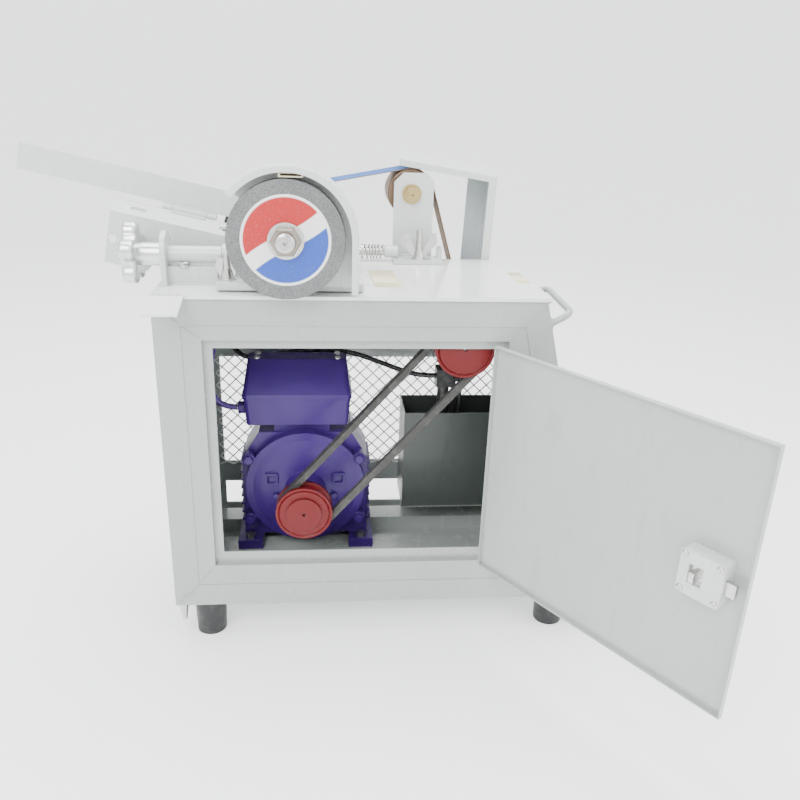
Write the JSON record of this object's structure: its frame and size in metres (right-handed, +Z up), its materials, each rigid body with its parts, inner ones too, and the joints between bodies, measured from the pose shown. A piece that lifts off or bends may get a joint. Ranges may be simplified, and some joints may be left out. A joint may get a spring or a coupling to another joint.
{
  "type": "wet grinding sharpener",
  "caption": "Bench-height wet tool sharpener: motor cabinet with hinged door, V-belt jackshaft, water-fed grinding wheel, tilting tool rest and abrasive belt.",
  "frame": {"origin": "on the floor, under the middle of the whole machine's bounding box with the door standing open as modelled", "axes": "+X to the right seen from the door side, +Y from the door side to the back, +Z up"},
  "size_m": [0.7276, 0.5786, 0.594],
  "materials": {
    "cabinet_paint": "gloss pale grey-green enamel",
    "fitting_paint": "gloss pale grey-green enamel over cast and welded fittings",
    "motor_paint": "gloss purple enamel",
    "pulley_paint": "gloss red enamel on cast iron",
    "bright_steel": "turned and ground steel",
    "plated_steel": "bright zinc plate",
    "yellow_zinc": "yellow zinc plate",
    "knob_metal": "cast and turned aluminium",
    "wire_mesh": "galvanised expanded metal",
    "grinding_stone": null,
    "printed_paper": "printed paper disc in red, white and blue, left blank of words",
    "foot_rubber": "moulded black rubber",
    "belt_rubber": "worn black belt rubber",
    "abrasive_cloth": "blue abrasive grain on brown cloth",
    "wheel_rubber": "black rubber tyre on a contact wheel",
    "tank_paint": "satin grey-green enamel",
    "hose_plastic": "black flexible tube",
    "nozzle_plastic": "cream plastic",
    "switch_plastic": "black moulded plastic",
    "rocker_plastic": "red moulded plastic"
  },
  "bodies": {
    "cabinet": {"front_frame": "cabinet_paint", "rear_frame": "cabinet_paint", "side_rails": "cabinet_paint", "side_panels": "cabinet_paint", "door_frame": "cabinet_paint", "back_mesh": "wire_mesh", "under_frame": "cabinet_paint", "rubber_feet": "foot_rubber", "drain_spout": "plated_steel", "side_handle": "cabinet_paint", "table_plate": "cabinet_paint", "clamp_studs": "plated_steel", "hinge_frame_halves": "plated_steel", "motor_housing": "motor_paint", "motor_end_shield": "motor_paint", "motor_fan_cover": "motor_paint", "terminal_box": "motor_paint", "terminal_lid": "motor_paint", "foot_bolts": "plated_steel", "v_belt": "belt_rubber", "bearing_blocks": "fitting_paint", "spindle_housing": "fitting_paint", "wheel_guard": "fitting_paint", "water_nozzle": "nozzle_plastic", "base_plate": "fitting_paint", "tension_rod": "plated_steel", "tension_spring": "bright_steel", "abrasive_belt": "abrasive_cloth", "belt_guard": "fitting_paint", "rest_post": "fitting_paint", "water_tank": "tank_paint", "water_pump": "switch_plastic", "coolant_hose": "hose_plastic", "motor_lead": "hose_plastic", "switch_box": "switch_plastic"},
    "door": {"door_panel": "cabinet_paint", "hinge_door_halves": "plated_steel", "latch_case": "cabinet_paint"},
    "latch": {"latch_tongue": "plated_steel"},
    "rotor": {"motor_shaft": "bright_steel", "motor_fan": "switch_plastic", "motor_pulley": "pulley_paint"},
    "jackshaft_assembly": {"jackshaft": "bright_steel", "jackshaft_pulley": "pulley_paint", "drive_wheel": "wheel_rubber"},
    "wheel_spindle": {"spindle": "bright_steel", "contact_wheel": "wheel_rubber", "wheel_flanges": "plated_steel", "grinding_wheel": "grinding_stone", "wheel_label": "printed_paper", "spindle_nut": "plated_steel"},
    "idler_carriage": {"idler_bracket": "fitting_paint", "idler_bolt": "yellow_zinc"},
    "idler": {"idler_roller": "bright_steel"},
    "idler_nut": {"idler_wing_nut": "plated_steel"},
    "base_nut": {"base_wing_nut": "plated_steel"},
    "knob": {"rest_knob": "knob_metal"},
    "rest": {"rest_bracket": "fitting_paint"},
    "rest_top": {"rest_plate": "fitting_paint"},
    "rocker": {"switch_rocker": "rocker_plastic"}
  },
  "joints": [
    {"name": "door_hinge", "type": "hinge", "parent": "cabinet", "child": "door", "pos_m": [0.1845, -0.0097, 0.2515], "axis": [0, 0, 1], "range_deg": [-123.9, 50]},
    {"name": "latch_slide", "type": "slide", "parent": "door", "child": "latch", "axis": [0.5577, -0.83, 0], "range_m": [-0.0037, 0.0047]},
    {"name": "motor_spin", "type": "hinge", "parent": "cabinet", "child": "rotor", "pos_m": [-0.0415, 0.0943, 0.169], "axis": [0, 1, 0], "continuous": true},
    {"name": "jackshaft_spin", "type": "hinge", "parent": "cabinet", "child": "jackshaft_assembly", "pos_m": [0.1475, 0.0943, 0.3828], "axis": [0, 1, 0], "continuous": true},
    {"name": "wheel_spin", "type": "hinge", "parent": "cabinet", "child": "wheel_spindle", "pos_m": [-0.0549, 0.0943, 0.5112], "axis": [0, 1, 0], "continuous": true},
    {"name": "belt_tension_slide", "type": "slide", "parent": "cabinet", "child": "idler_carriage", "axis": [1, 0, 0], "range_m": [-0.012, 0], "deforming": ["tension_spring", "abrasive_belt"]},
    {"name": "idler_spin", "type": "hinge", "parent": "idler_carriage", "child": "idler", "pos_m": [0.1, 0.2443, 0.5345], "axis": [0, 1, 0], "continuous": true},
    {"name": "idler_wing_nut_turn", "type": "hinge", "parent": "cabinet", "child": "idler_nut", "pos_m": [0.1095, 0.1863, 0.4655], "axis": [0, 0, 1], "range_deg": [-170, 170]},
    {"name": "base_wing_nut_turn", "type": "hinge", "parent": "cabinet", "child": "base_nut", "pos_m": [-0.123, 0.0263, 0.4655], "axis": [0, 0, 1], "range_deg": [-170, 170]},
    {"name": "rest_knob_turn", "type": "hinge", "parent": "cabinet", "child": "knob", "pos_m": [-0.211, 0.0543, 0.4805], "axis": [1, 0, 0], "range_deg": [-170, 170]},
    {"name": "rest_tilt", "type": "hinge", "parent": "cabinet", "child": "rest", "pos_m": [-0.12, 0.0543, 0.4805], "axis": [1, 0, 0], "range_deg": [-5, 20]},
    {"name": "rest_plate_fold", "type": "hinge", "parent": "rest", "child": "rest_top", "pos_m": [-0.17909, 0.1103, 0.52089], "axis": [0.9778, 0, -0.2096], "range_deg": [-75, 45]},
    {"name": "switch_rock", "type": "hinge", "parent": "cabinet", "child": "rocker", "pos_m": [-0.225, 0.1463, 0.3855], "axis": [0, 1, 0], "range_deg": [-8, 0]}
  ],
  "couplings": [
    {"joint": "jackshaft_spin", "follows": "motor_spin", "ratio": 1},
    {"joint": "wheel_spin", "follows": "motor_spin", "ratio": 1.1562},
    {"joint": "idler_spin", "follows": "motor_spin", "ratio": 0.93671}
  ]
}
